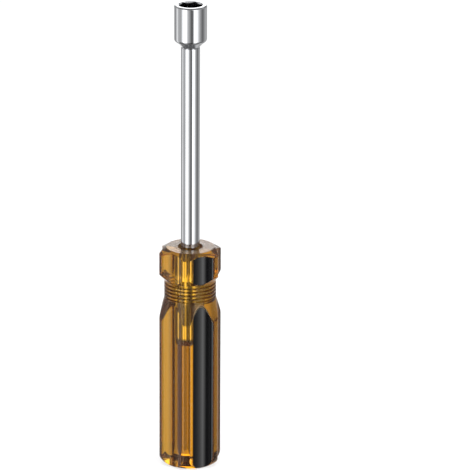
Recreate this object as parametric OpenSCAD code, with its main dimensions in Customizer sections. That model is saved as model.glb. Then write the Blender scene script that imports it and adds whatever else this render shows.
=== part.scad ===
// Fluted nut driver: an amber plastic handle with black strips let into every second flute,
// a plated steel shaft pressed into the handle and a hexagon socket brazed onto the shaft.
// It stands upright on its butt. +Z runs along the shaft towards the socket's mouth, the
// origin is the centre of the butt face and the first strip faces -Y. Sizes are in mm.

/* [Handle] */
// Length from the butt face to the collar's top face
handle_len = 86.2; // [76:0.2:110]
// Diameter over the lands between the flutes
land_d = 24.0; // [23.8:0.1:26]
// Number of flutes around the handle
flute_count = 6; // [5:1:7]
// Radius of the hollow of each flute
flute_r = 8.1; // [7:0.1:8.6]
// Depth of each flute below the lands
flute_depth = 2.05; // [1.6:0.05:2.1]
// Depth that the edges of the lands are eased by
land_ease = 0.25; // [0.1:0.05:0.4]
// Rounding radius of the butt's rim
butt_round = 4.1; // [2:0.1:6]
// Diameter of the collar's flat top face
collar_top_d = 18.0; // [14:0.2:20]
// Height of the bevel above the collar's lands
collar_top_h = 1.9; // [1:0.1:4]
// Length of the collar's lands
collar_len = 8.1; // [5:0.1:10]
// Height of the bevel from the collar down to the neck
collar_foot_h = 2.6; // [2:0.1:6]
// Diameter of the turned neck
neck_d = 19.5; // [18.6:0.1:19.6]
// Length of the turned neck
neck_len = 7.2; // [6.4:0.1:10]
// Length of the taper from the neck out to the grip
taper_len = 7.8; // [4:0.1:12]

/* [Neck rings] */
// Number of turned grooves around the neck
ring_count = 5; // [1:1:5]
// Height of the lowest groove's middle above the neck's lower end
ring_start = 0.5; // [0.4:0.05:0.7]
// Distance from groove to groove
ring_pitch = 1.35; // [1.1:0.05:1.35]
// Depth of each groove
ring_depth = 0.35; // [0.1:0.05:0.45]
// Radius of each groove's round bottom
ring_r = 0.5; // [0.45:0.05:0.5]

/* [Black strips] */
// Number of flutes from one strip to the next
strip_every = 2; // [1:1:2]
// Thickness of the strips
strip_t = 0.3; // [0.2:0.05:0.6]
// Amber margin left between a strip and the eased edge of each land
strip_margin = 0.1; // [0.1:0.05:0.8]

/* [Shaft] */
// Diameter of the shaft
shaft_d = 7.1; // [6:0.1:8]
// Length of shaft between the collar and the socket
shaft_out = 77.5; // [40:0.1:160]
// Length of shaft seated in the handle
shaft_seat = 37.8; // [24:0.2:60]
// Length of the tapered lead at the seated end
lead_len = 2.4; // [0.5:0.1:4]
// Amount the lead narrows on each side
lead_in = 0.9; // [0.2:0.1:1.5]
// Amount each anti-turn wing stands out of the shaft
wing_out = 1.3; // [0.5:0.1:2.5]
// Thickness of the wings
wing_t = 1.8; // [1:0.1:3]
// Length of the wings along the shaft
wing_len = 6.0; // [3:0.1:8]
// Depth of the wings' upper end below the collar's top face
wing_depth = 13.2; // [4:0.1:15]
// Diameter of the spigot that carries the socket
spigot_d = 4.6; // [3:0.1:5]
// Length of the spigot
spigot_len = 3.2; // [2:0.1:3.5]

/* [Socket] */
// Outside diameter of the socket
socket_d = 12.2; // [11.4:0.1:14]
// Length of the straight part of the socket
socket_len = 13.4; // [12.6:0.1:18]
// Height of the shoulder cone below the straight part
shoulder_h = 2.9; // [2.2:0.1:5]
// Size of the hexagon across its flats
hex_af = 8.0; // [8:0.05:9]
// Depth of the hexagon
hex_depth = 9.5; // [6:0.1:10]
// Diameter of the round stud clearance below the hexagon
stud_d = 7.8; // [6:0.1:7.8]
// Depth of the stud clearance
stud_depth = 2.7; // [1:0.1:3]
// Size of the bevel on the mouth's outer edge
rim_bevel = 0.4; // [0.1:0.05:0.6]
// Depth of the lead-in cone at the hexagon's mouth
mouth_bevel = 0.6; // [0.2:0.05:0.8]
// Turn of the hexagon about the shaft, in degrees
hex_turn = 13.6; // [0:0.2:60]

/* [Hidden] */
$fn = 96;
// The strips are nodes of their own, so their number follows the list above
strip_count = 3;
// Overlap of a cutting tool past the face that it opens
over = 1;
land_r = land_d / 2;
neck_r = neck_d / 2;
collar_top_r = collar_top_d / 2;
shaft_r = shaft_d / 2;
spigot_r = spigot_d / 2;
socket_r = socket_d / 2;
stud_r = stud_d / 2;
hex_corner_r = hex_af / 2 / cos(30);
// Heights of the handle's turned steps above the butt
z_land_top = handle_len - collar_top_h;
z_land_bottom = z_land_top - collar_len;
z_neck_top = z_land_bottom - collar_foot_h;
z_neck_bottom = z_neck_top - neck_len;
z_grip_top = z_neck_bottom - taper_len;
// Heights of the shaft's and the socket's steps
z_seat = handle_len - shaft_seat;
z_wing_top = handle_len - wing_depth;
z_foot = handle_len + shaft_out;
z_socket = z_foot + shoulder_h;
z_mouth = z_socket + socket_len;
z_hex = z_mouth - hex_depth;
// Distance from the handle's axis to the axis of each flute's hollow
flute_axis_r = land_r - flute_depth + flute_r;
// Half the angle of a flute as seen from the handle's axis and from the hollow's axis
flute_half = acos((pow(flute_axis_r, 2) + pow(land_r, 2) - pow(flute_r, 2))
                  / (2 * flute_axis_r * land_r));
hollow_half = asin(land_r * sin(flute_half) / flute_r);
// Turn of an eased edge's flat, which leans evenly on the land and on the hollow
ease_turn = (flute_half - hollow_half) / 2;
// Width of hollow that an eased edge takes away
ease_w = land_ease / sin((flute_half + hollow_half) / 2);
// Half the angle of a strip as seen from the hollow's axis
strip_half = hollow_half - asin((ease_w + strip_margin) / flute_r);
amber = [0.80, 0.46, 0.10];
black = [0.03, 0.03, 0.03];
plated = [0.78, 0.79, 0.80];

// Half outline of the turned handle: rounded butt, grip, taper, neck and bevelled collar
module turned_outline() {
    butt_flat_r = land_r - butt_round;
    square([butt_flat_r, butt_round]);
    intersection() {
        translate([butt_flat_r, butt_round])
            circle(r = butt_round);
        translate([butt_flat_r, 0])
            square([butt_round, butt_round]);
    }
    polygon([
        [0, butt_round],
        [land_r, butt_round],
        [land_r, z_grip_top],
        [neck_r, z_neck_bottom],
        [neck_r, z_neck_top],
        [land_r, z_land_bottom],
        [land_r, z_land_top],
        [collar_top_r, handle_len],
        [0, handle_len]
    ]);
}

// The handle before its flutes, grooves and seats are cut
module turned_body() {
    rotate_extrude()
        turned_outline();
}

// One hollow along a flute, on the -Y side
module flute_hollow() {
    translate([0, -flute_axis_r, -over])
        cylinder(r = flute_r, h = handle_len + 2 * over);
}

// The flats that ease the two land edges beside that flute
module eased_edges() {
    reach = flute_r / 2;
    for (side = [-1, 1])
        translate([side * land_r * sin(flute_half), -land_r * cos(flute_half), -over])
            rotate([0, 0, side * ease_turn])
                translate([-reach / 2, land_ease - reach, 0])
                    cube([reach, reach, handle_len + 2 * over]);
}

// Section of a strip's bed in the flute on the -Y side
module strip_bed_section() {
    reach = 2 * flute_r;
    translate([0, -flute_axis_r])
        intersection() {
            circle(r = flute_r + strip_t);
            polygon([
                [0, 0],
                [reach * tan(strip_half), reach],
                [-reach * tan(strip_half), reach]
            ]);
        }
}

// The bed between two heights
module strip_bed(z_from, z_to) {
    translate([0, 0, z_from])
        linear_extrude(height = z_to - z_from)
            strip_bed_section();
}

// Turns its child to the flute of a strip, where the first strip is on the -Y side
module at_strip(i) {
    rotate([0, 0, (i - 1) * strip_every * 360 / flute_count])
        children();
}

// One black strip between two heights, cut flush with the turned body
module strip(z_from, z_to) {
    color(black)
        difference() {
            intersection() {
                turned_body();
                strip_bed(z_from, z_to);
            }
            flute_hollow();
        }
}

// Round grooves turned around the neck
module neck_grooves() {
    for (i = [0 : ring_count - 1]) {
        z_groove = z_neck_bottom + ring_start + i * ring_pitch;
        translate([0, 0, z_groove])
            rotate_extrude()
                translate([neck_r - ring_depth + ring_r, 0])
                    circle(r = ring_r, $fn = 48);
    }
}

// Two flat wings forged out of the shaft, bevelled at both ends, that stop it turning
module wings() {
    reach = shaft_r + wing_out;
    translate([0, wing_t / 2, z_wing_top])
        rotate([90, 0, 0])
            linear_extrude(height = wing_t)
                polygon([
                    [-shaft_r, 0],
                    [shaft_r, 0],
                    [reach, -wing_out],
                    [reach, wing_out - wing_len],
                    [shaft_r, -wing_len],
                    [-shaft_r, -wing_len],
                    [-reach, wing_out - wing_len],
                    [-reach, -wing_out]
                ]);
}

// The shaft's seated end up to a given height, which is also the shape of its seat
module seated_end(z_to) {
    translate([0, 0, z_seat])
        cylinder(r1 = shaft_r - lead_in, r2 = shaft_r, h = lead_len);
    translate([0, 0, z_seat + lead_len])
        cylinder(r = shaft_r, h = z_to - z_seat - lead_len);
    wings();
}

module handle() {
    color(amber)
        difference() {
            turned_body();
            for (i = [0 : flute_count - 1])
                rotate([0, 0, i * 360 / flute_count])
                    union() {
                        flute_hollow();
                        eased_edges();
                    }
            for (i = [1 : strip_count])
                at_strip(i) {
                    strip_bed(-over, z_neck_bottom);
                    strip_bed(z_neck_top, handle_len + over);
                }
            neck_grooves();
            seated_end(handle_len + over);
        }
}

module grip_strip(i) {
    at_strip(i)
        strip(-over, z_neck_bottom);
}

module collar_strip(i) {
    at_strip(i)
        strip(z_neck_top, handle_len + over);
}

module shaft() {
    color(plated)
        union() {
            seated_end(z_foot);
            translate([0, 0, z_foot])
                cylinder(r = spigot_r, h = spigot_len);
        }
}

module socket() {
    mouth_slope = (hex_corner_r - hex_af / 2) / mouth_bevel;
    color(plated)
        difference() {
            rotate_extrude()
                polygon([
                    [0, z_foot],
                    [shaft_r, z_foot],
                    [socket_r, z_socket],
                    [socket_r, z_mouth - rim_bevel],
                    [socket_r - rim_bevel, z_mouth],
                    [0, z_mouth]
                ]);
            translate([0, 0, z_hex])
                rotate([0, 0, hex_turn - 90])
                    cylinder(r = hex_corner_r, h = hex_depth + over, $fn = 6);
            translate([0, 0, z_hex - stud_depth])
                cylinder(r = stud_r, h = stud_depth + over);
            translate([0, 0, z_mouth - mouth_bevel])
                cylinder(r1 = hex_af / 2, r2 = hex_corner_r + over * mouth_slope,
                         h = mouth_bevel + over);
            translate([0, 0, z_foot - over])
                cylinder(r = spigot_r, h = spigot_len + over);
        }
}

handle();
for (i = [1 : strip_count]) {
    grip_strip(i);
    collar_strip(i);
}
shaft();
socket();
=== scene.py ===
"""A nut driver: a clear amber fluted handle with black strips, a plated shaft and a hexagon socket."""

import math

import bmesh
import bpy
from mathutils import Euler, Matrix, Vector


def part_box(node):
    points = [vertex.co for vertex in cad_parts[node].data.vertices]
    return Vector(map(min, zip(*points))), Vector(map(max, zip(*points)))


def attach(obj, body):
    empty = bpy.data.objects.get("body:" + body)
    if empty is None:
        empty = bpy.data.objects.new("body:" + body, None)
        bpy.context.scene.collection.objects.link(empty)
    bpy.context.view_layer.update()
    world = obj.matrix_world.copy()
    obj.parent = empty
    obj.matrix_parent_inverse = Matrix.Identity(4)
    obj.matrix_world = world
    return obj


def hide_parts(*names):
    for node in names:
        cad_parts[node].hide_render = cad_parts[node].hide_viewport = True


bl_info = {
    "name": "Nut driver",
    "version": (1, 0, 0),
    "blender": (4, 5, 0),
    "location": "3D View > Sidebar > Nut driver",
    "description": "Builds a nut driver with a clear fluted handle around its solid frame",
    "category": "Object",
}

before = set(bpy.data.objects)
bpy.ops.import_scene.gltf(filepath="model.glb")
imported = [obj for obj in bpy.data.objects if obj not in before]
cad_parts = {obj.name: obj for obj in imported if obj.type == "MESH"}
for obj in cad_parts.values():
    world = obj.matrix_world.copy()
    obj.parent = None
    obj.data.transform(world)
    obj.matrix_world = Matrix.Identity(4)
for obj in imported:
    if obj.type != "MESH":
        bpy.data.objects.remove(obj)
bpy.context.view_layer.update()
HANDLE_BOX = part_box("handle")
SHAFT_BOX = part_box("shaft")
SOCKET_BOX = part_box("socket")
SOCKET_RADIUS = (SOCKET_BOX[1][0] - SOCKET_BOX[0][0]) / 2

MM = 0.001
BODY = "root"
TAU = 2 * math.pi
SHARP_ANGLE = math.radians(38)
TURNED_MARK = "turned"
FUSED_MARK = "fused"
FINISH_MARK = "nut_driver_finish"

# Mesh columns for half a flute, across a strip, and around the shaft and the socket
FLUTE_COLUMNS = 28
STRIP_COLUMNS = 44
SHAFT_COLUMNS = 96
SOCKET_COLUMNS = 144
# Mesh rows along the butt, half a ring, the taper, the collar's foot and top, and a wing
BUTT_ROWS = 16
RING_ROWS = 6
TAPER_ROWS = 22
FOOT_ROWS = 16
TOP_ROWS = 14
WING_ROWS = 34
ROW_EASE = 2.0
# Steepness of a wing's ends, and how far its rounding spreads around the shaft
WING_SLOPE = 4.5
WING_SPREAD = 0.62


# Sizes and colours that a user would change


def number(name, description, default, low=0.0, **options):
    """A plain number, positive unless low says otherwise."""
    return bpy.props.FloatProperty(name=name, description=description, default=default, min=low, **options)


def length(name, description, default_mm):
    """A length property, given in millimetres and kept in metres."""
    return number(name, description, default_mm * MM, unit="LENGTH", subtype="DISTANCE", precision=5)


def angle(name, description, default_degrees):
    """An angle property, given in degrees and kept in radians."""
    return number(name, description, math.radians(default_degrees), -TAU, unit="ROTATION", subtype="ANGLE")


def factor(name, description, default):
    """A share from nought to one."""
    return number(name, description, default, max=1.0, subtype="FACTOR")


def colour(name, description, default):
    """A colour property."""
    return bpy.props.FloatVectorProperty(
        name=name, description=description, default=default, size=3, min=0.0, max=1.0, subtype="COLOR"
    )


def count(name, description, default):
    """A whole number of copies."""
    return bpy.props.IntProperty(name=name, description=description, default=default, min=1)


def group(name, kind):
    """A group of settings inside another, described by its own docstring."""
    return bpy.props.PointerProperty(name=name, description=kind.__doc__, type=kind)


class HandleSizes(bpy.types.PropertyGroup):
    """Sizes of the fluted handle."""

    handle_length: length("Length", "From the butt to the collar's top face", HANDLE_BOX[1][2] / MM)
    land_radius: length("Land radius", "Radius over the lands", 12.15)
    flute_count: count("Flutes", "Flutes around the handle", 6)
    flute_radius: length("Flute radius", "Radius of each flute's hollow", 8.2)
    flute_depth: length("Flute depth", "Depth of each flute below the lands", 2.1)
    land_round: length("Land rounding", "Radius that rounds each land into its flutes", 2.12)
    cut_softness: length("Cut softness", "Easing of turned cuts into the flutes", 0.15)
    butt_round: length("Butt rounding", "Rounding of the butt's rim", 4.1)
    collar_top_radius: length("Top face radius", "Radius of the collar's flat top face", 9.0)
    collar_top_height: length("Top bevel", "Height of the bevel above the collar's lands", 1.9)
    collar_length: length("Collar length", "Length of the collar's lands", 8.1)
    collar_foot_height: length("Foot bevel", "Height of the bevel down to the neck", 2.6)
    neck_radius: length("Neck radius", "Radius of the turned neck", 9.75)
    neck_length: length("Neck length", "Length of the turned neck", 7.2)
    taper_length: length("Taper length", "Length of the taper out to the grip", 7.8)
    ring_count: count("Rings", "Grooves turned around the neck", 5)
    ring_start: length("Ring start", "Lowest groove above the neck's lower end", 0.75)
    ring_pitch: length("Ring pitch", "Distance from groove to groove", 1.35)
    ring_depth: length("Ring depth", "Depth of each groove", 0.42)
    ring_half: length("Ring half width", "Half the width of each groove", 0.34)
    seat_bevel: length("Seat bevel", "Width of the hollow around the shaft in the top face", 1.2)


class StripSizes(bpy.types.PropertyGroup):
    """Sizes of the black strips."""

    strip_count: count("Strips", "Black strips around the handle", 3)
    half_width: angle("Half width", "Angle from a strip's middle to its side", 19.9)
    lean: angle("Lean", "Turn of each strip from the middle of its flute", 2.8)
    thickness: length("Thickness", "Depth of a strip into its flute", 0.3)
    end_margin: length("End margin", "Amber left at a strip's cut ends", 0.12)
    top_margin: length("Top margin", "Amber left below the collar's top bevel", 0.1)
    corner_round: length("Corner rounding", "Rounding of a grip strip's lower corners", 1.7)
    proud: length("Proud", "Amount a strip stands above its flute", 0.02)


class ShaftSizes(bpy.types.PropertyGroup):
    """Sizes of the plated shaft."""

    shaft_radius: length("Radius", "Radius of the shaft", 3.55)
    seat_height: length("Seat", "Height of the seated end above the butt", SHAFT_BOX[0][2] / MM)
    lead_length: length("Lead", "Length of the tapered lead at the seated end", 2.4)
    lead_in: length("Lead depth", "Amount the lead narrows on each side", 0.9)
    wing_out: length("Wing reach", "Amount each wing stands out of the shaft", 1.3)
    wing_width: length("Wing width", "Width of each wing around the shaft", 1.8)
    wing_length: length("Wing length", "Length of each wing", 6.0)
    wing_depth: length("Wing depth", "Depth of the wings below the collar's top face", 13.2)
    spigot_radius: length("Spigot radius", "Radius of the spigot inside the socket", 2.3)
    spigot_length: length("Spigot length", "Length of the spigot", 3.2)
    seat_bite: length("Seat bite", "Amount the handle's seat grips into the shaft", 0.05)


class SocketSizes(bpy.types.PropertyGroup):
    """Sizes of the hexagon socket head."""

    socket_radius: length("Radius", "Outside radius of the socket", SOCKET_RADIUS / MM)
    foot_height: length("Foot", "Height of the socket's foot above the butt", SOCKET_BOX[0][2] / MM)
    mouth_height: length("Mouth", "Height of the mouth above the butt", SOCKET_BOX[1][2] / MM)
    shoulder_height: length("Shoulder", "Height of the shoulder cone", 2.9)
    hex_across_flats: length("Across flats", "Size of the hexagon across its flats", 8.0)
    hex_depth: length("Hexagon depth", "Depth of the hexagon", 9.5)
    hex_turn: angle("Hexagon turn", "Turn of the hexagon about the shaft", 13.6)
    stud_radius: length("Stud radius", "Radius of the stud clearance", 3.9)
    stud_depth: length("Stud depth", "Depth of the stud clearance", 2.7)
    rim_bevel: length("Rim bevel", "Size of the bevel on the mouth's outer edge", 0.5)
    mouth_bevel: length("Mouth bevel", "Depth of the lead-in at the hexagon's mouth", 0.5)


class Finishes(bpy.types.PropertyGroup):
    """Colours and gloss of the three finishes."""

    amber_depth: colour("Amber", "Colour that light keeps on its way through", (0.923, 0.795, 0.09))
    amber_density: number("Amber density", "Strength of the amber's colour per metre", 220.0)
    clearness: factor("Clearness", "Share of light that passes the surface unscattered", 0.985)
    haze: factor("Haze", "Blur of the handle's turned faces", 0.05)
    top_haze: factor("Top haze", "Blur of the collar's faced top", 0.22)
    torn_grain: length("Torn grain", "Height of the torn grain around the shaft's foot", 0.2)
    # Painted shade: this dark tint around the shaft's foot stands in for shade where the shaft enters the
    # handle
    torn: colour("Torn plastic", "Tint of the torn plastic around the shaft's foot", (0.3, 0.16, 0.05))
    amber_lines: length("Amber lines", "Height of the drawn and turned lines in the amber", 0.004)
    amber_surface: colour("Amber surface", "Tint of the handle's surface", (1.0, 0.75, 0.45))
    amber_gloss: colour("Amber gloss", "Tint of the handle's reflections", (1.0, 0.72, 0.42))
    black: colour("Black", "Colour of the strips", (0.001, 0.001, 0.0013))
    fused: colour("Fused face", "Colour of the strips' inner faces, fused to the amber", (0.3, 0.15, 0.07))
    black_lines: length("Black lines", "Height of the drawn lines in the strips", 0.003)
    plating: colour("Plating", "Colour of the plated steel", (0.72, 0.73, 0.75))
    plating_lines: length("Plating lines", "Height of the polishing lines in the plating", 0.0012)
    plating_roughness: factor("Plating roughness", "Blur of the plating's reflections", 0.09)


class StageSettings(bpy.types.PropertyGroup):
    """The camera, the light and the floor."""

    camera_azimuth: angle("Azimuth", "Turn of the camera about the tool", -24.0)
    camera_elevation: angle("Elevation", "Height angle of the camera", 19.0)
    camera_roll: angle("Roll", "Lean of the camera", 0.30)
    camera_distance: length("Distance", "Camera to the point it looks at", 1531.5)
    camera_lens: number("Lens", "Focal length in millimetres on a 36 mm sensor", 313.9)
    look_height: length("Look height", "Height of the point that the camera looks at", 90.7)
    look_right: length("Look right", "Offset of that point to the right of the tool", 16.75)
    ceiling_light: number("Ceiling light", "Level above the front in reflections", 0.3)
    back_light: number("Back light", "Level above the back in reflections", 0.8)
    low_light: number("Low light", "Level low behind the tool at the left in reflections", 0.8)
    lower_light: factor("Lower light", "Share of light that comes from below the boxes", 0.3)
    front_edge: number("Front edge", "Slope down to the lower edge of the boxes in front", 0.41)
    back_edge: number("Back edge", "Slope down to the lower edge of the light behind", 0.65)
    under_light: number("Under light", "Level straight below in reflections", 0.2)
    even_light: number("Even light", "Level of the light that reaches dull surfaces", 0.75)
    floor_glow: factor("Floor glow", "Share of the floor that stays white", 0.7)
    floor_colour: colour("Floor", "Colour of the floor", (0.9, 0.9, 0.9))


class NutDriver(bpy.types.PropertyGroup):
    """All the settings of the nut driver."""

    handle: group("Handle", HandleSizes)
    strip: group("Strip", StripSizes)
    shaft: group("Shaft", ShaftSizes)
    socket: group("Socket", SocketSizes)
    finish: group("Finish", Finishes)
    stage: group("Stage", StageSettings)


# Arithmetic inside node trees


def math_method(operation, swapped=False):
    """An arithmetic method that adds one Math node."""

    def method(self, *others):
        values = (*others, self) if swapped else (self, *others)
        return work(self.tree, operation, *values)

    return method


class Calc:
    """A number inside a node tree. Arithmetic on it adds Math nodes."""

    __add__, __radd__ = math_method("ADD"), math_method("ADD", swapped=True)
    __sub__, __rsub__ = math_method("SUBTRACT"), math_method("SUBTRACT", swapped=True)
    __mul__, __rmul__ = math_method("MULTIPLY"), math_method("MULTIPLY", swapped=True)
    __truediv__, __rtruediv__ = math_method("DIVIDE"), math_method("DIVIDE", swapped=True)
    __pow__ = math_method("POWER")
    __mod__ = math_method("FLOORED_MODULO")
    __gt__ = math_method("GREATER_THAN")
    __lt__ = math_method("LESS_THAN")
    __abs__ = math_method("ABSOLUTE")

    def __init__(self, tree, socket):
        self.tree = tree
        self.socket = socket

    def call(self, operation, *others):
        """Any other operation that a Math node has."""
        return work(self.tree, operation, self, *others)


def join(tree, value, socket):
    """Feeds a value, a Calc or a socket into an input."""
    if isinstance(value, Calc):
        value = value.socket
    if isinstance(value, bpy.types.NodeSocket):
        tree.links.new(value, socket)
    else:
        socket.default_value = value


def work(tree, operation, *values):
    """One Math node."""
    node = tree.nodes.new("ShaderNodeMath")
    node.operation = operation
    for value, socket in zip(values, node.inputs):
        join(tree, value, socket)
    return Calc(tree, node.outputs[0])


def choose(condition, yes, no):
    """yes where condition is 1 and no where it is 0."""
    return no + condition * (yes - no)


def sine(x):
    """Sine of a plain number or of a Calc."""
    return x.call("SINE") if isinstance(x, Calc) else math.sin(x)


def cosine(x):
    """Cosine of a plain number or of a Calc."""
    return x.call("COSINE") if isinstance(x, Calc) else math.cos(x)


def arc_cosine(x):
    """Angle of a cosine, held at the ends of its range."""
    if isinstance(x, Calc):
        return x.call("MINIMUM", 1.0).call("MAXIMUM", -1.0).call("ARCCOSINE")
    return math.acos(min(max(x, -1.0), 1.0))


def root(x):
    """Square root, held at nought."""
    return x.call("MAXIMUM", 0.0).call("SQRT") if isinstance(x, Calc) else math.sqrt(max(x, 0.0))


def corner_turn(near, far, opposite):
    """Angle between the near and the far side of a triangle, from its three sides."""
    return arc_cosine((near * near + far * far - opposite * opposite) / (2.0 * near * far))


class FluteSection:
    """Section of the fluted bar: round hollows, rounded lands and the round bar between them."""

    def __init__(self, land, hollow, depth, rounding):
        reach, inner = land - depth + hollow, land - rounding
        self.land, self.hollow, self.rounding = land, hollow, rounding
        self.reach, self.inner = reach, inner
        self.land_turn = corner_turn(reach, inner, hollow + rounding)
        swing = corner_turn(reach, hollow + rounding, inner)
        self.meet_r = root(reach * reach + hollow * hollow - 2.0 * reach * hollow * cosine(swing))
        self.meet_turn = corner_turn(reach, self.meet_r, hollow)

    def radius(self, turn):
        """Radius of the section at an angle from the middle of a flute."""
        off = self.reach * sine(turn)
        hollow = self.reach * cosine(turn) - root(self.hollow * self.hollow - off * off)
        lean = turn - self.land_turn
        off = self.inner * sine(lean)
        rounded = self.inner * cosine(lean) + root(self.rounding * self.rounding - off * off)
        return choose(turn < self.meet_turn, hollow, choose(turn < self.land_turn, rounded, self.land))

    def edge(self, turned):
        """Angle at which a turned radius leaves the hollow or its rounding."""
        in_hollow = corner_turn(self.reach, turned, self.hollow)
        in_rounding = self.land_turn - corner_turn(turned, self.inner, self.rounding)
        return choose(turned < self.meet_r, in_hollow, in_rounding)


def feed(tree, node, **inputs):
    """Feeds a node's inputs, whose names have underscores for spaces."""
    for name, value in inputs.items():
        wanted = name.replace("_", " ")
        join(tree, value, next(s for s in node.inputs if s.name == wanted and s.enabled))


def add_node(tree, kind, **inputs):
    """Adds a node and feeds its inputs."""
    node = tree.nodes.new(kind)
    feed(tree, node, **inputs)
    return node


def split_vector(tree, vector):
    """The three parts of a vector."""
    node = add_node(tree, "ShaderNodeSeparateXYZ", Vector=vector)
    return [Calc(tree, s) for s in node.outputs]


# Outlines and meshes


def toward(start, end, distance):
    """The point at a distance from start on the way to end."""
    return Vector(start) + (Vector(end) - Vector(start)).normalized() * distance


def bend(before, corner, after, size, steps=4):
    """Points of a soft bend that replaces a corner of an outline."""
    start, end, corner = toward(corner, before, size), toward(corner, after, size), Vector(corner)
    points = []
    for i in range(steps + 1):
        t = i / steps
        points.append(tuple(start * (1 - t) ** 2 + corner * 2 * t * (1 - t) + end * t**2))
    return points


def between(start, end, steps, ease=1.0):
    """Points inside a straight stretch, closer together at its start for an ease above 1."""
    a, b = Vector(start), Vector(end)
    return [tuple(a.lerp(b, (i / steps) ** ease)) for i in range(1, steps)]


def held(start, end, hold):
    """The two points just inside the ends of a stretch, which keep its shading straight."""
    return [tuple(toward(start, end, hold)), tuple(toward(end, start, hold))]


def add_piece(name, bm, settings, node, slot):
    """Adds a smooth piece with outward faces from a bmesh, in its finish and tied to the frame."""
    bmesh.ops.remove_doubles(bm, verts=bm.verts, dist=1e-7)
    bmesh.ops.dissolve_degenerate(bm, edges=bm.edges, dist=1e-8)
    bmesh.ops.recalc_face_normals(bm, faces=bm.faces)
    mesh = bpy.data.meshes.new(name)
    bm.to_mesh(mesh)
    bm.free()
    mesh.shade_smooth()
    mesh.set_sharp_from_angle(angle=SHARP_ANGLE)
    mesh.materials.append(finish_named(slot, settings))
    piece = bpy.data.objects.new(name, mesh)
    bpy.context.scene.collection.objects.link(piece)
    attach(piece, BODY)
    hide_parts(node)


def loft(rings):
    """A closed bmesh skin over rings of points, all of the same number. The end rings are points."""
    bm = bmesh.new()
    rows = [[bm.verts.new(p) for p in ring] for ring in rings]
    columns = len(rows[0])
    for low, high in zip(rows, rows[1:]):
        for i in range(columns):
            j = (i + 1) % columns
            bm.faces.new((low[i], low[j], high[j], high[i]))
    return bm


def ring_points(radius, height, columns, turn=0.0):
    """One ring about the tool's axis. radius is a number or a function of the angle."""
    points = []
    for i in range(columns):
        a = turn + TAU * i / columns
        r = radius(a) if callable(radius) else radius
        points.append((r * math.cos(a), r * math.sin(a), height))
    return points


# Finishes


def new_material(name):
    """An empty node material with its Principled shader."""
    old = bpy.data.materials.get(name)
    if old is not None:
        bpy.data.materials.remove(old)
    material = bpy.data.materials.new(name)
    material.use_nodes = True
    tree = material.node_tree
    return material, tree, tree.nodes["Principled BSDF"]


def object_place(tree, scale=(1.0, 1.0, 1.0)):
    """Object coordinates, scaled."""
    place = tree.nodes.new("ShaderNodeTexCoord")
    return add_node(tree, "ShaderNodeMapping", Vector=place.outputs["Object"], Scale=scale).outputs[0]


def noise(tree, per_metre, detail=2.0, roughness=0.5):
    """Noise between nought and one, with about this many grains per metre along X, Y and Z."""
    place = object_place(tree, per_metre)
    texture = {"Vector": place, "Scale": 1.0, "Detail": detail, "Roughness": roughness}
    return Calc(tree, add_node(tree, "ShaderNodeTexNoise", **texture).outputs[0])


def spread(value, low, high, out_low, out_high):
    """Maps a range onto another, held at its ends."""
    ends = {"From_Min": low, "From_Max": high, "To_Min": out_low, "To_Max": out_high}
    return Calc(value.tree, add_node(value.tree, "ShaderNodeMapRange", Value=value, **ends).outputs[0])


def mixed_colour(tree, share, first, second):
    """A mix of two colours."""
    node = tree.nodes.new("ShaderNodeMix")
    node.data_type = "RGBA"
    join(tree, share, node.inputs["Factor"])
    colours = [s for s in node.inputs if s.type == "RGBA"]
    for socket, value in zip(colours, (first, second)):
        join(tree, value if isinstance(value, bpy.types.NodeSocket) else (*value, 1.0), socket)
    return next(s for s in node.outputs if s.type == "RGBA")


def clouded(tree, cloud, base, share, low=0.3, high=0.7):
    """A colour that a cloud of noise dims or lifts to a share of itself."""
    return mixed_colour(tree, spread(cloud, low, high, 0.0, 1.0), base, [c * share for c in base])


def bumped(height):
    """A normal from a height in metres."""
    return add_node(height.tree, "ShaderNodeBump", Strength=1.0, Distance=1.0, Height=height).outputs[0]


def painted(tree, name):
    """A mark painted on the mesh, from nought to one."""
    mark = tree.nodes.new("ShaderNodeAttribute")
    mark.attribute_name = name
    return Calc(tree, mark.outputs["Fac"])


def amber_plastic(settings):
    """Clear amber plastic: deep colour from its thickness, drawn lines, a haze where it was turned, and
    painted shade around the shaft's foot.
    """
    finish, top = settings.finish, settings.handle.handle_length
    foot = settings.shaft.shaft_radius + settings.handle.seat_bevel
    material, tree, shader = new_material("amber_plastic")
    drawn = noise(tree, (900.0, 900.0, 14.0), 3.0)
    cloud = noise(tree, (70.0, 70.0, 35.0))
    turned = noise(tree, (60.0, 60.0, 9000.0))
    grain = noise(tree, (1300.0, 1300.0, 1300.0))
    on_turned = painted(tree, TURNED_MARK)
    hazy = spread(turned, 0.3, 0.7, finish.haze * 0.8, finish.haze * 1.2)
    rough = choose(on_turned, hazy, spread(cloud, 0.35, 0.7, 0.01, 0.03))
    x, y, height = split_vector(tree, object_place(tree))
    top_skin, torn_shade_reach, torn_shade_depth = 0.05 * MM, 1.3 * MM, 2.0 * MM
    rough = choose(height > top - top_skin, finish.top_haze, rough)
    # Around the shaft's foot: torn grain in the bump, and painted shade in the colour where the shaft
    # enters the handle
    near_foot = spread(root(x * x + y * y), foot - 0.1 * MM, foot + torn_shade_reach, 1.0, 0.0)
    near_foot = near_foot * (height > top - torn_shade_depth)
    relief = (drawn * 0.6 + on_turned * turned * 0.4) * finish.amber_lines
    tint = clouded(tree, cloud, finish.amber_surface, 0.96)
    feed(
        tree,
        shader,
        Base_Color=mixed_colour(tree, near_foot, tint, finish.torn),
        Roughness=rough,
        Normal=bumped(relief + near_foot * grain * finish.torn_grain),
        Transmission_Weight=finish.clearness,
        Specular_Tint=(*finish.amber_gloss, 1.0),
        IOR=1.49,
    )
    depth = (*finish.amber_depth, 1.0)
    inside = add_node(tree, "ShaderNodeVolumeAbsorption", Color=depth, Density=finish.amber_density)
    tree.links.new(inside.outputs[0], tree.nodes["Material Output"].inputs["Volume"])
    return material


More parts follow.
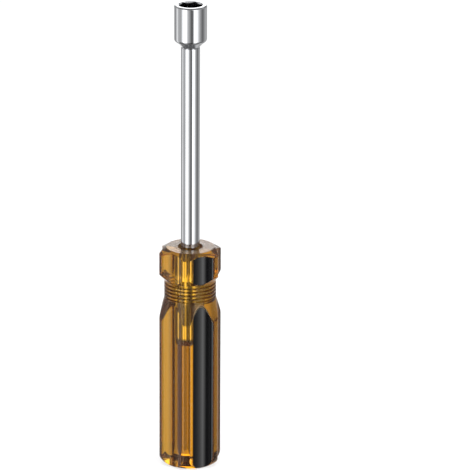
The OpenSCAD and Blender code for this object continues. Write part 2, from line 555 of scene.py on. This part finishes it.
def black_plastic(settings):
    """Opaque black plastic with drawn lines and a soft gloss, brown where it is fused to the amber."""
    finish = settings.finish
    material, tree, shader = new_material("black_plastic")
    drawn = noise(tree, (1400.0, 1400.0, 12.0), 3.0)
    cloud = noise(tree, (180.0, 180.0, 60.0), 3.0)
    inner = spread(painted(tree, FUSED_MARK), 0.5, 1.0, 0.0, 1.0)
    feed(
        tree,
        shader,
        Base_Color=mixed_colour(tree, inner, clouded(tree, cloud, finish.black, 1.7), finish.fused),
        Roughness=spread(cloud, 0.3, 0.75, 0.05, 0.09),
        Normal=bumped(drawn * finish.black_lines),
        IOR=1.5,
    )
    return material


def plated_steel(settings):
    """Bright plating over turned steel, with fine polishing lines and faint smudges."""
    finish = settings.finish
    material, tree, shader = new_material("plated_steel")
    polish = noise(tree, (2600.0, 2600.0, 40.0), 3.0)
    smudge = noise(tree, (140.0, 140.0, 60.0), 4.0, 0.6)
    base = finish.plating_roughness
    feed(
        tree,
        shader,
        Base_Color=clouded(tree, smudge, finish.plating, 0.93, low=0.35),
        Roughness=spread(smudge, 0.35, 0.75, base * 0.8, base * 1.5),
        Normal=bumped(polish * finish.plating_lines),
        Metallic=1.0,
    )
    return material


def finish_named(name, settings):
    """A finish by name, made once."""
    made = bpy.data.materials.get(name)
    if made is not None and made.get(FINISH_MARK):
        return made
    makers = {"amber_plastic": amber_plastic, "black_plastic": black_plastic, "plated_steel": plated_steel}
    material = makers[name](settings)
    material[FINISH_MARK] = True
    return material


# The handle


def handle_steps(h):
    """Heights of the handle's turned steps, from the collar's top face down to the grip."""
    land_top = h.handle_length - h.collar_top_height
    land_bottom = land_top - h.collar_length
    neck_top = land_bottom - h.collar_foot_height
    neck_bottom = neck_top - h.neck_length
    grip_top = neck_bottom - h.taper_length
    return land_top, land_bottom, neck_top, neck_bottom, grip_top


def handle_outline(h, shaft):
    """Half outline of the handle from the middle of the butt, up the outside and down its seat."""
    land_top, land_bottom, neck_top, neck_bottom, grip_top = handle_steps(h)
    hold, soft, blend = 0.25 * MM, 0.35 * MM, 0.3 * MM
    top_soft, lip_soft, throat_slope = soft * 0.6, soft * 0.5, 1.3
    flat = h.land_radius - h.butt_round
    points = [(0.0, 0.0), (flat * 0.5, 0.0), (flat - hold, 0.0)]
    for i in range(BUTT_ROWS + 1):
        a = math.radians(-90 + 90 * i / BUTT_ROWS)
        points.append((flat + h.butt_round * math.cos(a), h.butt_round + h.butt_round * math.sin(a)))
    rim = (h.land_radius, h.butt_round)
    grip = (h.land_radius, grip_top)
    taper = (h.neck_radius, neck_bottom)
    neck = (h.neck_radius, neck_top)
    foot = (h.land_radius, land_bottom)
    land = (h.land_radius, land_top)
    top = (h.collar_top_radius, h.handle_length)
    points += held(rim, toward(grip, rim, soft), hold)
    points += bend(rim, grip, taper, soft)
    # A tip is where a turned slope meets the bottom of a flute
    share = h.flute_depth / (h.land_radius - h.neck_radius)
    tip = Vector(grip).lerp(Vector(taper), share)
    points += [*reversed(between(tip, points[-1], TAPER_ROWS, ROW_EASE)), tuple(tip)]
    points += bend(grip, taper, neck, min(blend, (Vector(taper) - tip).length * 0.9), 6)
    for k in range(h.ring_count):
        middle = neck_bottom + h.ring_start + k * h.ring_pitch
        for i in range(-RING_ROWS, RING_ROWS + 1):
            points.append((h.neck_radius, middle + h.ring_half * i / RING_ROWS))
    points += bend(taper, neck, foot, soft)
    foot_tip = Vector(neck).lerp(Vector(foot), 1 - share)
    points += [*between(points[-1], foot_tip, 4), tuple(foot_tip)]
    points += between(foot_tip, toward(foot, neck, soft), FOOT_ROWS, ROW_EASE)
    points += bend(neck, foot, land, soft)
    points += held(points[-1], toward(land, foot, soft), hold)
    points += bend(foot, land, top, soft)
    top_tip = Vector(land).lerp(Vector(top), h.flute_depth / (h.land_radius - h.collar_top_radius))
    points += [*reversed(between(top_tip, points[-1], TOP_ROWS, ROW_EASE)), tuple(top_tip)]
    points += between(top_tip, toward(top, land, soft), 4)
    points += bend(land, top, (0.0, h.handle_length), top_soft)
    bore = shaft.shaft_radius - shaft.seat_bite
    lip = (bore + h.seat_bevel, h.handle_length)
    throat = (bore, h.handle_length - h.seat_bevel * throat_slope)
    seat = (bore, shaft.seat_height + shaft.lead_length)
    points += held(points[-1], (lip[0] + lip_soft, lip[1]), hold)
    points += bend(top, lip, throat, lip_soft, 3)
    points += bend(lip, throat, seat, lip_soft, 3)
    points += held(points[-1], seat, hold)
    lead = (bore - shaft.lead_in, shaft.seat_height + shaft.seat_bite)
    points += [seat, lead, (0.0, lead[1])]
    return points


SOCKET_KINDS = {int: "NodeSocketInt", float: "NodeSocketFloat", bpy.types.Material: "NodeSocketMaterial"}


def handle_tree(inputs):
    """The node tree that sweeps the outline around the axis and sinks flutes and rings into it."""
    tree = bpy.data.node_groups.new("fluted_handle", "GeometryNodeTree")
    face = tree.interface
    face.new_socket("Geometry", in_out="INPUT", socket_type="NodeSocketGeometry")
    for name, start in inputs.items():
        face.new_socket(name, in_out="INPUT", socket_type=SOCKET_KINDS[type(start)])
    face.new_socket("Geometry", in_out="OUTPUT", socket_type="NodeSocketGeometry")
    given = tree.nodes.new("NodeGroupInput").outputs
    value = {s.name: Calc(tree, s) for s in given if s.name}
    rows = add_node(tree, "GeometryNodeAttributeDomainSize", Geometry=given["Geometry"])
    row_count = Calc(tree, rows.outputs["Point Count"])
    sector_columns = value["Columns"] * 2.0
    columns = sector_columns * value["Flute Count"]
    grid = add_node(tree, "GeometryNodeMeshGrid", Vertices_X=columns + 1.0, Vertices_Y=row_count)
    index = Calc(tree, tree.nodes.new("GeometryNodeInputIndex").outputs[0])
    column = ((index + 0.5) / row_count).call("FLOOR")
    row = index - column * row_count
    sample = tree.nodes.new("GeometryNodeSampleIndex")
    sample.data_type = "FLOAT_VECTOR"
    sample.domain = "POINT"
    place = tree.nodes.new("GeometryNodeInputPosition").outputs[0]
    feed(tree, sample, Geometry=given["Geometry"], Value=place, Index=row)
    turned, unused, height = split_vector(tree, next(s for s in sample.outputs if s.enabled))
    ring_reach, land_margin, tiny_turn = 0.6 * MM, 0.02 * MM, 1e-4
    # Rings: narrow grooves, spaced along the neck
    along = (height - value["Ring Start"]) / value["Ring Pitch"]
    nearest = along.call("ROUND").call("MAXIMUM", 0.0).call("MINIMUM", value["Ring Count"] - 1.0)
    off = abs(along - nearest) * value["Ring Pitch"] / value["Ring Half Width"]
    groove = (1.0 + cosine(off.call("MINIMUM", 1.0) * math.pi)) * 0.5 * value["Ring Depth"]
    near_neck = abs(turned - value["Neck Radius"]) < ring_reach
    turned = turned - groove * near_neck
    # Flutes: in each sector the columns keep to the edge between flute and land
    section = FluteSection(
        value["Land Radius"], value["Flute Radius"], value["Flute Depth"], value["Land Rounding"]
    )
    half = math.pi / value["Flute Count"]
    edge = section.edge(turned.call("MAXIMUM", 1e-5))
    local = (column % sector_columns) / value["Columns"] - 1.0
    side = local.call("SIGN")
    share = abs(local)
    split, ease = 0.6, 1.5
    in_flute = share < split + tiny_turn
    flute_part = 1.0 - (1.0 - (share / split).call("MINIMUM", 1.0)) ** ease
    land_part = ((share - split) / (1.0 - split)).call("MAXIMUM", 0.0) ** ease
    turn_in = choose(in_flute, edge * flute_part, edge + (half - edge) * land_part)
    radius = work(tree, "SMOOTH_MIN", turned, section.radius(turn_in), value["Cut Softness"])
    radius = radius.call("MINIMUM", turned)
    on_cut = (turn_in > edge - tiny_turn) * (turned < value["Land Radius"] - land_margin)
    on_cut = on_cut * (height > value["Haze Start"])
    sector = ((column + 0.5) / sector_columns).call("FLOOR")
    theta = turn_in * side + sector * 2.0 * half - math.pi / 2
    x, y = radius * cosine(theta), radius * sine(theta)
    spot = add_node(tree, "ShaderNodeCombineXYZ", X=x, Y=y, Z=height).outputs[0]
    placed = add_node(tree, "GeometryNodeSetPosition", Geometry=grid.outputs["Mesh"], Position=spot)
    mark = tree.nodes.new("GeometryNodeStoreNamedAttribute")
    mark.data_type = "FLOAT"
    mark.domain = "POINT"
    feed(tree, mark, Geometry=placed.outputs[0], Name=TURNED_MARK, Value=on_cut)
    merged = add_node(tree, "GeometryNodeMergeByDistance", Geometry=mark.outputs[0], Distance=1e-6)
    smooth = add_node(tree, "GeometryNodeSetShadeSmooth", Geometry=merged.outputs[0])
    real = add_node(tree, "GeometryNodeRealizeInstances", Geometry=smooth.outputs[0])
    clad = add_node(tree, "GeometryNodeSetMaterial", Geometry=real.outputs[0], Material=given["Material"])
    out = tree.nodes.new("NodeGroupOutput")
    tree.links.new(clad.outputs[0], out.inputs["Geometry"])
    return tree


def set_inputs(modifier, values):
    """Sets a tree's inputs by their sockets' identifiers."""
    for item in modifier.node_group.interface.items_tree:
        if item.item_type == "SOCKET" and item.in_out == "INPUT" and item.name in values:
            modifier[item.identifier] = values[item.name]


def plain_bmesh(holder):
    """The evaluated result of a holder's modifiers as a bmesh, with the holder removed."""
    view = bpy.context.evaluated_depsgraph_get()
    mesh = bpy.data.meshes.new_from_object(holder.evaluated_get(view))
    bm = bmesh.new()
    bm.from_mesh(mesh)
    holder.modifiers.clear()
    old = holder.data
    bpy.data.objects.remove(holder)
    for used in (old, mesh):
        bpy.data.meshes.remove(used)
    return bm


class DRIVER_OT_handle(bpy.types.Operator):
    """Makes the clear amber handle with its flutes, rings and butt"""

    bl_idname = "nut_driver.handle"
    bl_label = "Handle"

    def execute(self, context):
        settings = context.scene.nut_driver
        h = settings.handle
        outline = handle_outline(h, settings.shaft)
        wire = bpy.data.meshes.new("handle_outline")
        edges = [(i, i + 1) for i in range(len(outline) - 1)]
        wire.from_pydata([(r, 0.0, z) for r, z in outline], edges, [])
        holder = bpy.data.objects.new("handle_outline", wire)
        context.scene.collection.objects.link(holder)
        *unused, neck_bottom, grip_top = handle_steps(h)
        inputs = {
            "Flute Count": h.flute_count,
            "Columns": FLUTE_COLUMNS,
            "Land Radius": h.land_radius,
            "Flute Radius": h.flute_radius,
            "Flute Depth": h.flute_depth,
            "Land Rounding": h.land_round,
            "Cut Softness": h.cut_softness,
            "Ring Count": h.ring_count,
            "Ring Pitch": h.ring_pitch,
            "Ring Depth": h.ring_depth,
            "Ring Start": neck_bottom + h.ring_start,
            "Ring Half Width": h.ring_half,
            "Neck Radius": h.neck_radius,
            "Haze Start": grip_top,
            "Material": finish_named("amber_plastic", settings),
        }
        modifier = holder.modifiers.new("fluted_handle", "NODES")
        modifier.node_group = handle_tree(inputs)
        set_inputs(modifier, inputs)
        context.view_layer.update()
        add_piece("handle_body", plain_bmesh(holder), settings, "handle", "amber_plastic")
        return {"FINISHED"}


# The black strips


def strip_mesh(h, s, lower, upper, turn, rounding):
    """A strip along a flute as a bmesh. lower and upper give its end's height from a radius."""
    section = FluteSection(h.land_radius, h.flute_radius, h.flute_depth, h.land_round)
    hold, tiny_turn = 0.12 * MM, 1e-4

    def spot(a):
        r = section.radius(abs(a + s.lean))
        return Vector((r * math.sin(a), -r * math.cos(a)))

    bm = bmesh.new()
    fused = bm.verts.layers.float.new(FUSED_MARK)
    rows = []
    for i in range(STRIP_COLUMNS + 1):
        swing = s.half_width * (2 * i / STRIP_COLUMNS - 1)
        along = (spot(swing + tiny_turn) - spot(swing - tiny_turn)).normalized()
        out = Vector((along.y, -along.x))
        face, deep = spot(swing) + out * s.proud, spot(swing) - out * s.thickness
        short = max(rounding - (s.half_width - abs(swing)) * face.length, 0.0)
        lift = rounding - root(rounding**2 - short**2)
        low, high = lower(face.length) + lift, upper(face.length)
        heights = [low, low + hold, low + 4 * hold, high - 4 * hold, high - hold, high]
        front = [bm.verts.new((*face, z)) for z in heights]
        back = [bm.verts.new((*deep, z)) for z in (upper(deep.length), lower(deep.length) + lift)]
        for vert in back:
            vert[fused] = 1.0
        rows.append(front + back)
    for left, right in zip(rows, rows[1:]):
        loop = len(left)
        for k in range(loop):
            n = (k + 1) % loop
            bm.faces.new((left[k], left[n], right[n], right[k]))
    for end in (rows[0], rows[-1]):
        bm.faces.new(end)
    bmesh.ops.rotate(bm, verts=bm.verts, cent=(0, 0, 0), matrix=Matrix.Rotation(turn, 3, "Z"))
    return bm


class DRIVER_OT_strips(bpy.types.Operator):
    """Lays the black strips into their flutes on the grip and on the collar"""

    bl_idname = "nut_driver.strips"
    bl_label = "Black strips"

    def execute(self, context):
        settings = context.scene.nut_driver
        h, s = settings.handle, settings.strip
        land_top, unused, neck_top, neck_bottom, unused = handle_steps(h)
        step = h.land_radius - h.neck_radius
        bevel_share = 0.6

        def butt_end(r):
            inside = min(max(r - (h.land_radius - h.butt_round), 0.0), h.butt_round)
            return h.butt_round - math.sqrt(h.butt_round**2 - inside**2) + s.end_margin

        def taper_end(r):
            return neck_bottom - (r + s.end_margin - h.neck_radius) / step * h.taper_length

        def foot_end(r):
            return neck_top + (r + s.end_margin - h.neck_radius) / step * h.collar_foot_height

        def top_end(r):
            slope = h.collar_top_height / (h.land_radius - h.collar_top_radius)
            return land_top + (h.land_radius - r) * slope * bevel_share - s.top_margin

        stretches = {
            "grip_strip": (butt_end, taper_end, s.corner_round),
            "collar_strip": (foot_end, top_end, 0.0),
        }
        for i in range(s.strip_count):
            turn = TAU * i / s.strip_count + s.lean
            for kind, (lower, upper, rounding) in stretches.items():
                strip = strip_mesh(h, s, lower, upper, turn, rounding)
                name, node = "%s_inlay_%d" % (kind, i + 1), "%s_%d" % (kind, i + 1)
                add_piece(name, strip, settings, node, "black_plastic")
        return {"FINISHED"}


# The shaft and the socket


class DRIVER_OT_shaft(bpy.types.Operator):
    """Turns the plated shaft with its lead, wings and spigot"""

    bl_idname = "nut_driver.shaft"
    bl_label = "Shaft"

    def execute(self, context):
        settings = context.scene.nut_driver
        s = settings.shaft
        r = s.shaft_radius
        foot = settings.socket.foot_height
        hold, side_play, end_play = 0.2 * MM, 0.05 * MM, 0.1 * MM
        end_round, lead_round, tip_round = 0.4 * MM, 0.5 * MM, 0.12 * MM
        wing_top = settings.handle.handle_length - s.wing_depth
        wing_bottom = wing_top - s.wing_length
        end = (r - s.lead_in, s.seat_height)
        lead = (r, s.seat_height + s.lead_length)
        lead_edge = (r - 0.2 * MM, lead[1] - 0.6 * MM)
        rod_edge = (r, foot - 0.15 * MM)
        outline = [(0.0, s.seat_height)]
        outline += bend((0.0, s.seat_height), end, lead, end_round)
        outline += held(outline[-1], lead_edge, hold)
        outline += bend(end, lead, (r, wing_bottom), lead_round)
        outline += held(outline[-1], (r, wing_bottom), hold)
        outline += between((r, wing_bottom - hold), (r, wing_top + hold), WING_ROWS)
        outline += held((r, wing_top), rod_edge, hold)
        outline += bend((r, wing_top), (r, foot), (0.0, foot), tip_round, 3)
        spigot_top = foot + s.spigot_length - end_play
        spigot = s.spigot_radius - side_play
        outline += [(spigot, foot), (spigot, spigot_top), (0.0, spigot_top)]

        def swollen(radius, height):
            inside = (height - wing_bottom) / s.wing_length
            rise = min(max(min(inside, 1 - inside) * WING_SLOPE, 0.0), 1.0)
            rise = rise * rise * (3 - 2 * rise)
            if rise == 0.0 or radius < r * 0.9:
                return radius
            width = s.wing_width / r * WING_SPREAD
            return lambda a: r + s.wing_out * rise * math.exp(-((math.cos(a) ** 2 - 1) / width**2) ** 2)

        rings = [ring_points(swollen(radius, z), z, SHAFT_COLUMNS) for radius, z in outline]
        add_piece("shaft_rod", loft(rings), settings, "shaft", "plated_steel")
        return {"FINISHED"}


class DRIVER_OT_socket(bpy.types.Operator):
    """Makes the socket head with its shoulder, mouth and hexagon"""

    bl_idname = "nut_driver.socket"
    bl_label = "Socket"

    def execute(self, context):
        settings = context.scene.nut_driver
        s = settings.socket
        shaft = settings.shaft
        hold, edge_hold, soft, tiny = 0.15 * MM, 0.05 * MM, 0.1 * MM, 0.02 * MM
        neck_height, neck_round, shoulder_round = 0.45 * MM, 0.35 * MM, 0.5 * MM
        lip_width, lip_steps = 0.12 * MM, 10
        foot, mouth = s.foot_height, s.mouth_height
        shoulder = foot + s.shoulder_height
        flat = s.hex_across_flats / 2
        corner = flat / math.cos(math.pi / 6)
        turn = s.hex_turn - math.pi / 2

        def hexagon(a):
            sector = (a - turn) % (math.pi / 3) - math.pi / 6
            return flat / math.cos(sector)

        hole_top = foot + shaft.spigot_length
        r, spigot = shaft.shaft_radius, shaft.spigot_radius
        low, wide = (r, foot), (s.socket_radius, shoulder)
        rim = (s.socket_radius, mouth)
        lip = (corner + lip_width, mouth)
        outline = [(0.0, hole_top), (spigot, hole_top), (spigot, foot + tiny)]
        outline += [(r - soft, foot + tiny), (r, foot + soft)]
        blend = (r, foot + neck_height)
        cone_edge = (wide[0] - 0.4 * MM, wide[1] - 0.4 * MM)
        outline += bend(low, blend, wide, neck_round, 5)
        outline += held(outline[-1], cone_edge, hold)
        outline += bend(low, wide, rim, shoulder_round, 5)
        side, face = (rim[0], rim[1] - s.rim_bevel), (rim[0] - s.rim_bevel, rim[1])
        outline += held(outline[-1], (side[0], side[1] - soft), hold)
        outline += bend(wide, side, face, soft, 3) + bend(side, face, lip, soft, 3)
        outline += held(outline[-1], lip, edge_hold)
        rings = [ring_points(radius, z, SOCKET_COLUMNS, turn) for radius, z in outline]
        slope = (lip[0] - flat) / s.mouth_bevel
        for i in range(lip_steps + 1):
            depth = s.mouth_bevel * i / lip_steps

            def lead_in(a, cone=lip[0] - slope * depth):
                return max(hexagon(a), cone)

            rings.append(ring_points(lead_in, mouth - depth, SOCKET_COLUMNS, turn))
        floor = mouth - s.hex_depth
        bottom = floor - s.stud_depth
        for radius, z in (
            (hexagon, mouth - s.mouth_bevel - hold),
            (hexagon, floor + hold),
            (hexagon, floor),
            (s.stud_radius + tiny, floor),
            (s.stud_radius, floor - edge_hold),
            (s.stud_radius, bottom + hold),
            (s.stud_radius, bottom),
            (s.stud_radius - hold, bottom),
            (0.0, bottom),
        ):
            rings.append(ring_points(radius, z, SOCKET_COLUMNS, turn))
        add_piece("socket_head", loft(rings), settings, "socket", "plated_steel")
        return {"FINISHED"}


# The stage


# Level of the studio's reflections by the angle around the tool from the camera, in degrees
STUDIO_BANDS = (
    (-180, 1.25), (-174, 1.5), (-165, 1.25), (-155, 0.95), (-138, 0.42), (-121, 0.50),
    (-113, 0.95), (-104, 1.5), (-94, 0.75), (-72, 0.58), (-58, 1.1), (-48, 3.4),
    (-34, 3.2), (-19, 0.90), (-7, 0.60), (3, 0.28), (12, 0.11), (18, 0.26),
    (24, 1.2), (30, 2.4), (36, 3.5), (42, 2.6), (50, 1.7), (60, 1.1), (68, 0.70),
    (78, 0.44), (95, 0.20), (128, 0.65), (155, 0.50), (164, 0.70), (172, 0.90), (180, 1.25),
)
# The same above the tool's height
UPPER_BANDS = (
    (-180, 3.4), (-172, 2.0), (-160, 1.2), (-152, 0.40), (-100, 0.60),
    (-60, 1.0), (-46, 3.2), (-26, 3.0), (-16, 0.50), (10, 0.30),
    (17, 2.5), (26, 4.5), (36, 4.0), (46, 2.0), (65, 0.80),
    (100, 0.60), (135, 0.30), (156, 0.30), (164, 3.0), (180, 3.4),
)
# Heights, and turns in degrees from the front, between which the reflections change
UPPER_RISE = (0.0, 0.12)
EDGE_RISE = (-0.05, 0.05)
CEILING_RISE = (0.5, 0.58)
LOW_RISE = (-0.75, -0.62)
UNDER_RISE = (-0.92, -0.82)
EDGE_TURN = (75.0, 105.0)
CEILING_TURN = (110.0, 130.0)
LOW_TURN = (85.0, 95.0)
# Lamps: turn from the camera in degrees, distance from the axis, height, width, depth and power
LAMPS = {
    "key_lamp": (43, 0.7, 0.5, 0.3, 0.6, 5.0),
    "fill_lamp": (-38, 0.7, 0.6, 0.3, 0.6, 4.0),
    "top_lamp": (0, 0.0, 1.1, 0.9, 0.9, 8.0),
}
LAMP_TARGET = (0.0, 0.0, 0.09)
FLOOR_HALF = 3.0
SENSOR_WIDTH = 36.0
WHITE = (1.0, 1.0, 1.0, 1.0)
BOX_GREY = (0.8, 0.8, 0.8, 1.0)


def band_level(tree, turn, bands):
    """Level of a band of light at a turn around the tool."""
    ramp = tree.nodes.new("ShaderNodeValToRGB")
    ramp.color_ramp.interpolation = "LINEAR"
    join(tree, turn, ramp.inputs["Fac"])
    stops = ramp.color_ramp.elements
    while len(stops) < len(bands):
        stops.new(0.5)
    for stop, (degrees, level) in zip(stops, bands):
        stop.position = degrees / 360 + 0.5
        stop.color = (level, level, level, 1.0)
    return Calc(tree, ramp.outputs["Color"])


def mixed_shader(tree, share, first, second):
    """A mix of two shaders."""
    mix = add_node(tree, "ShaderNodeMixShader", Fac=share)
    for shader, socket in zip((first, second), mix.inputs[1:]):
        tree.links.new(shader.outputs[0], socket)
    return mix


def box_level(tree, stage):
    """Level of the studio's light boxes in a direction, by its height z and its turn around the tool."""
    place = tree.nodes.new("ShaderNodeTexCoord")
    x, y, z = split_vector(tree, place.outputs["Generated"])
    around = work(tree, "ARCTAN2", x, -1.0 * y) - stage.camera_azimuth
    turn = ((around / TAU) + 0.5) % 1.0
    degrees = (turn - 0.5) * 360.0
    middle, upper = (band_level(tree, turn, bands) for bands in (STUDIO_BANDS, UPPER_BANDS))
    level = choose(spread(z, *UPPER_RISE, 0.0, 1.0), upper, middle)
    edge = spread(abs(degrees), *EDGE_TURN, stage.front_edge, stage.back_edge)
    level = level * spread(z + edge, *EDGE_RISE, stage.lower_light, 1.0)
    ceiling = spread(abs(degrees), *CEILING_TURN, stage.ceiling_light, stage.back_light)
    level = choose(spread(z, *CEILING_RISE, 0.0, 1.0), ceiling, level)
    low_left = spread(z, *LOW_RISE, 1.0, 0.0) * spread(degrees, *LOW_TURN, 0.0, 1.0)
    level = choose(low_left, stage.low_light, level)
    return choose(spread(z, *UNDER_RISE, 1.0, 0.0), stage.under_light, level)


def ray_kinds(tree, *names):
    """One for rays of any of these kinds and nought for the rest."""
    path = tree.nodes.new("ShaderNodeLightPath")
    first, *others = (Calc(tree, path.outputs["Is %s Ray" % name]) for name in names)
    return sum(others, first).call("MINIMUM", 1.0)


def studio_world(stage):
    """A white surround for the camera, soft light boxes for reflections and even light for the rest."""
    world = bpy.data.worlds.new("studio")
    world.use_nodes = True
    tree = world.node_tree
    tree.nodes.clear()
    even = add_node(tree, "ShaderNodeBackground", Color=WHITE, Strength=stage.even_light)
    boxes = add_node(tree, "ShaderNodeBackground", Color=BOX_GREY, Strength=box_level(tree, stage))
    white = add_node(tree, "ShaderNodeBackground", Color=WHITE, Strength=1.0)
    light = mixed_shader(tree, ray_kinds(tree, "Glossy", "Transmission"), even, boxes)
    seen = mixed_shader(tree, ray_kinds(tree, "Camera"), light, white)
    out = tree.nodes.new("ShaderNodeOutputWorld")
    tree.links.new(seen.outputs[0], out.inputs["Surface"])
    return world


def floor_finish(stage):
    """A pale floor that keeps a soft shadow and stays near white to the camera."""
    material, tree, shader = new_material("pale_floor")
    tree.nodes.remove(shader)
    speck = noise(tree, (40.0, 40.0, 40.0), 3.0)
    tint = clouded(tree, speck, stage.floor_colour, 0.985, 0.0, 1.0)
    diffuse = add_node(tree, "ShaderNodeBsdfDiffuse", Color=tint)
    glow = add_node(tree, "ShaderNodeEmission", Color=WHITE)
    seen = ray_kinds(tree, "Camera", "Glossy", "Transmission")
    mix = mixed_shader(tree, seen * stage.floor_glow, diffuse, glow)
    tree.links.new(mix.outputs[0], tree.nodes["Material Output"].inputs["Surface"])
    return material


def hide_from_rays(item):
    """Keeps an object out of reflections and out of what is seen through the handle."""
    item.visible_glossy = False
    item.visible_transmission = False


def soft_lamp(name, place, width, depth, power):
    """An area lamp that lights the object and shows only as its soft shadow."""
    data = bpy.data.lights.new(name, "AREA")
    data.shape = "RECTANGLE"
    data.size, data.size_y = width, depth
    data.energy = power
    lamp = bpy.data.objects.new(name, data)
    lamp.location = place
    lamp.rotation_euler = (Vector(LAMP_TARGET) - place).to_track_quat("-Z", "Y").to_euler()
    lamp.visible_camera = False
    hide_from_rays(lamp)
    bpy.context.scene.collection.objects.link(lamp)


class DRIVER_OT_stage(bpy.types.Operator):
    """Sets the floor, the studio light and the camera"""

    bl_idname = "nut_driver.stage"
    bl_label = "Stage"

    def execute(self, context):
        scene = context.scene
        stage = scene.nut_driver.stage
        scene.view_settings.view_transform = "Standard"
        scene.world = studio_world(stage)
        mesh = bpy.data.meshes.new("floor")
        corners = [(x * FLOOR_HALF, y * FLOOR_HALF, 0.0) for x, y in ((-1, -1), (1, -1), (1, 1), (-1, 1))]
        mesh.from_pydata(corners, [], [(0, 1, 2, 3)])
        mesh.materials.append(floor_finish(stage))
        floor = bpy.data.objects.new("floor", mesh)
        scene.collection.objects.link(floor)
        hide_from_rays(floor)
        az, el = stage.camera_azimuth, stage.camera_elevation
        front = Vector((math.sin(az), -math.cos(az), 0.0))
        right = Vector((math.cos(az), math.sin(az), 0.0))
        up = Vector((0.0, 0.0, 1.0))
        for name, (turn, distance, high, *shape) in LAMPS.items():
            swing = math.radians(turn)
            around = (front * math.cos(swing) + right * math.sin(swing)) * distance
            soft_lamp(name, around + up * high, *shape)
        data = bpy.data.cameras.new("camera")
        data.lens = stage.camera_lens
        data.sensor_width = SENSOR_WIDTH
        data.clip_start = 0.05
        camera = bpy.data.objects.new("camera", data)
        look = up * stage.look_height + right * stage.look_right
        away = front * math.cos(el) + up * math.sin(el)
        camera.location = look + away * stage.camera_distance
        turn = (-away).to_track_quat("-Z", "Y") @ Euler((0.0, 0.0, stage.camera_roll)).to_quaternion()
        camera.rotation_euler = turn.to_euler()
        scene.collection.objects.link(camera)
        scene.camera = camera
        return {"FINISHED"}


class DRIVER_PT_panel(bpy.types.Panel):
    """Lists the pieces of the nut driver"""

    bl_idname = "DRIVER_PT_panel"
    bl_label = "Nut driver"
    bl_space_type = "VIEW_3D"
    bl_region_type = "UI"
    bl_category = "Nut driver"

    def draw(self, context):
        for operator in OPERATORS:
            self.layout.operator(operator.bl_idname)
        settings = context.scene.nut_driver
        for sizes in (settings.handle, settings.strip, settings.shaft, settings.socket, settings.finish):
            box = self.layout.box()
            for name in sizes.__annotations__:
                box.prop(sizes, name)


OPERATORS = (DRIVER_OT_stage, DRIVER_OT_handle, DRIVER_OT_strips, DRIVER_OT_shaft, DRIVER_OT_socket)
GROUPS = (HandleSizes, StripSizes, ShaftSizes, SocketSizes, Finishes, StageSettings, NutDriver)
CLASSES = (*GROUPS, *OPERATORS, DRIVER_PT_panel)


def register():
    """Registers the classes and the settings."""
    for item in CLASSES:
        bpy.utils.register_class(item)
    bpy.types.Scene.nut_driver = group("Nut driver", NutDriver)


def unregister():
    """Removes the settings and the classes."""
    del bpy.types.Scene.nut_driver
    for item in reversed(CLASSES):
        bpy.utils.unregister_class(item)


def main():
    """Builds every piece and the stage."""
    register()
    bpy.ops.nut_driver.stage()
    bpy.ops.nut_driver.handle()
    bpy.ops.nut_driver.strips()
    bpy.ops.nut_driver.shaft()
    bpy.ops.nut_driver.socket()


if __name__ == "__main__":
    main()
